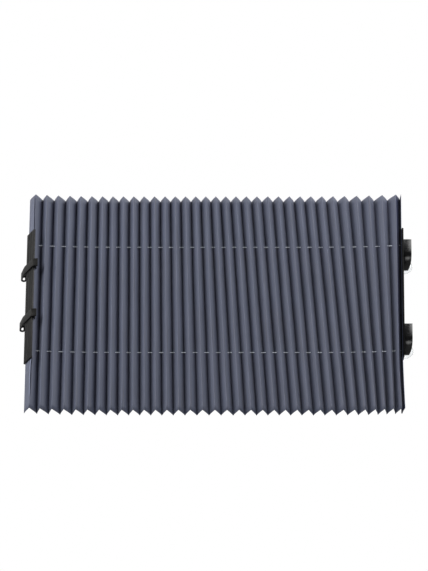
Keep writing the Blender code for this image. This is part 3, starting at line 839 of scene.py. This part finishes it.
class SHADE_OT_cords(bpy.types.Operator):
    """Add the two draw cords that run through the pleats"""

    bl_idname = "shade.cords"
    bl_label = "Draw Cords"

    def execute(self, context):
        cord = context.scene.shade_cord
        finish = cord_material(cord.colour)
        for side in ("upper", "lower"):
            low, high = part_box(f"{side}_cord")
            y = (low.y + high.y) / 2
            points = []
            for step in range(CORD_STEPS + 1):
                x = low.x + (high.x - low.x) * step / CORD_STEPS
                points.append(Vector((x, y, VALLEY_Z + CORD_DEPTH_SHARE * FOLD_DEPTH - sag(x))))
            name = f"{side}_draw_cord"
            made = link(name, tube_mesh(name, points, cord.radius, CORD_SIDES), finish)
            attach(made, "left_end")
            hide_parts(f"{side}_cord")
            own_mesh(made)
        return {"FINISHED"}


class SHADE_OT_rails(bpy.types.Operator):
    """Add the two rails and the strips that clamp the cloth to them"""

    bl_idname = "shade.rails"
    bl_label = "Rails"

    def execute(self, context):
        moulded = context.scene.shade_moulded
        mould = {"roughness": 0.44, "grain_size": 0.0009, "grain_depth": 0.00005}
        satin = moulded_material("satin black rail", moulded.rail_colour, **mould)
        # The right rail and its strip get a darker copy of the rail black, with less gloss: the darker
        # colour is painted shade
        shaded = moulded_material("deep black rail", moulded.bracket_colour, gloss=0.05, **mould)
        for side, finish in (("left", satin), ("right", shaded)):
            dress(f"{side}_rail", f"{side}_rail_moulding", finish, moulded.edge)
            dress(
                f"{side}_clamp_strip", f"{side}_strip_moulding", finish, moulded.edge
            )
        return {"FINISHED"}


class SHADE_OT_hooks(bpy.types.Operator):
    """Add the two hook clips on the left rail"""

    bl_idname = "shade.hooks"
    bl_label = "Hook Clips"

    def execute(self, context):
        moulded = context.scene.shade_moulded
        finish = moulded_material(
            "satin black hook", moulded.hook_colour, roughness=0.40, grain_size=0.0008, grain_depth=0.00004
        )
        for side in ("upper", "lower"):
            dress(f"{side}_hook_clip", f"{side}_hook_moulding", finish, moulded.edge)
        return {"FINISHED"}


class SHADE_OT_cups(bpy.types.Operator):
    """Add the cup brackets and the clear suction cups"""

    bl_idname = "shade.cups"
    bl_label = "Suction Cups"

    def execute(self, context):
        moulded = context.scene.shade_moulded
        cup = context.scene.shade_cup
        black = moulded_material(
            "bracket black", moulded.bracket_colour, roughness=0.25, grain_size=0.0014, grain_depth=0.00016,
            gloss=0.42,
        )
        clear = clear_material(cup.colour)
        for side in ("upper", "lower"):
            moulding = f"{side}_bracket_moulding"
            dress(f"{side}_cup_bracket", moulding, black, moulded.bracket_edge)
            low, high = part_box(f"{side}_suction_cup")
            centre = Vector(((low.x + high.x) / 2, (low.y + high.y) / 2, 0))
            rim = (high.x - low.x) / 2
            name = f"{side}_clear_cup"
            made = link(name, turned_mesh(name, cup_profile(rim, high.z), centre, cup.steps), clear)
            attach(made, "right_end")
            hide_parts(f"{side}_suction_cup")
        return {"FINISHED"}


def cup_profile(rim, top):
    """Outer side down from the stem's top, round the rim and up the hollow."""
    stem = 0.0045
    stem_edge = 0.0006
    dome = 0.0105
    lip = 0.0008
    wall = 0.0022
    rim_width = 0.0020
    rim_edge = 0.0003
    steps = 16
    profile = [(0, top), (stem - stem_edge, top), (stem, top - stem_edge)]
    for step in range(steps + 1):
        angle = math.pi / 2 * step / steps
        profile.append((stem + (rim - stem) * math.sin(angle), lip + (dome - lip) * math.cos(angle)))
    profile += [(rim, rim_edge), (rim - rim_edge, 0)]
    for step in range(steps, -1, -1):
        angle = math.pi / 2 * step / steps
        profile.append(((rim - rim_width) * math.sin(angle), (dome - wall) * math.cos(angle)))
    return profile


class SHADE_OT_fasteners(bpy.types.Operator):
    """Finish the rivets, ferrules and screws"""

    bl_idname = "shade.fasteners"
    bl_label = "Fasteners"

    def execute(self, context):
        fastener = context.scene.shade_fastener
        bright = steel_material("plain steel", fastener.steel_tone)
        dark = steel_material("blackened steel", fastener.rivet_tone)
        for name in frame["nodes"]:
            if any(word in name for word in ("rivet", "ferrule", "screw")):
                steel = dark if "rivet" in name else bright
                dress(name, f"{name}_turned", steel, fastener.edge)
        return {"FINISHED"}


class SHADE_PT_sidebar(bpy.types.Panel):
    """Settings and steps of the shade"""

    bl_idname = "SHADE_PT_sidebar"
    bl_label = "Pleated Shade"
    bl_space_type = "VIEW_3D"
    bl_region_type = "UI"
    bl_category = "Shade"

    def draw(self, context):
        for attribute, group in SETTINGS.items():
            box = self.layout.box()
            box.label(text=group.__doc__)
            for key in group.__annotations__:
                box.prop(getattr(context.scene, attribute), key)
        for operator in OPERATORS:
            self.layout.operator(operator.bl_idname)


OPERATORS = (
    SHADE_OT_stage,
    SHADE_OT_cords,
    SHADE_OT_cloth,
    SHADE_OT_rails,
    SHADE_OT_hooks,
    SHADE_OT_cups,
    SHADE_OT_fasteners,
)


def register():
    for group in (*SETTINGS.values(), *OPERATORS, SHADE_PT_sidebar):
        bpy.utils.register_class(group)
    for attribute, group in SETTINGS.items():
        setattr(bpy.types.Scene, attribute, PointerProperty(type=group))


def unregister():
    for attribute in SETTINGS:
        delattr(bpy.types.Scene, attribute)
    for group in (SHADE_PT_sidebar, *OPERATORS[::-1], *SETTINGS.values()):
        bpy.utils.unregister_class(group)


def main():
    register()
    for item in list(bpy.data.objects):
        if item.type in ("CAMERA", "LIGHT"):
            bpy.data.objects.remove(item, do_unlink=True)
    for operator in OPERATORS:
        area, name = operator.bl_idname.split(".")
        getattr(getattr(bpy.ops, area), name)()


if __name__ == "__main__":
    main()
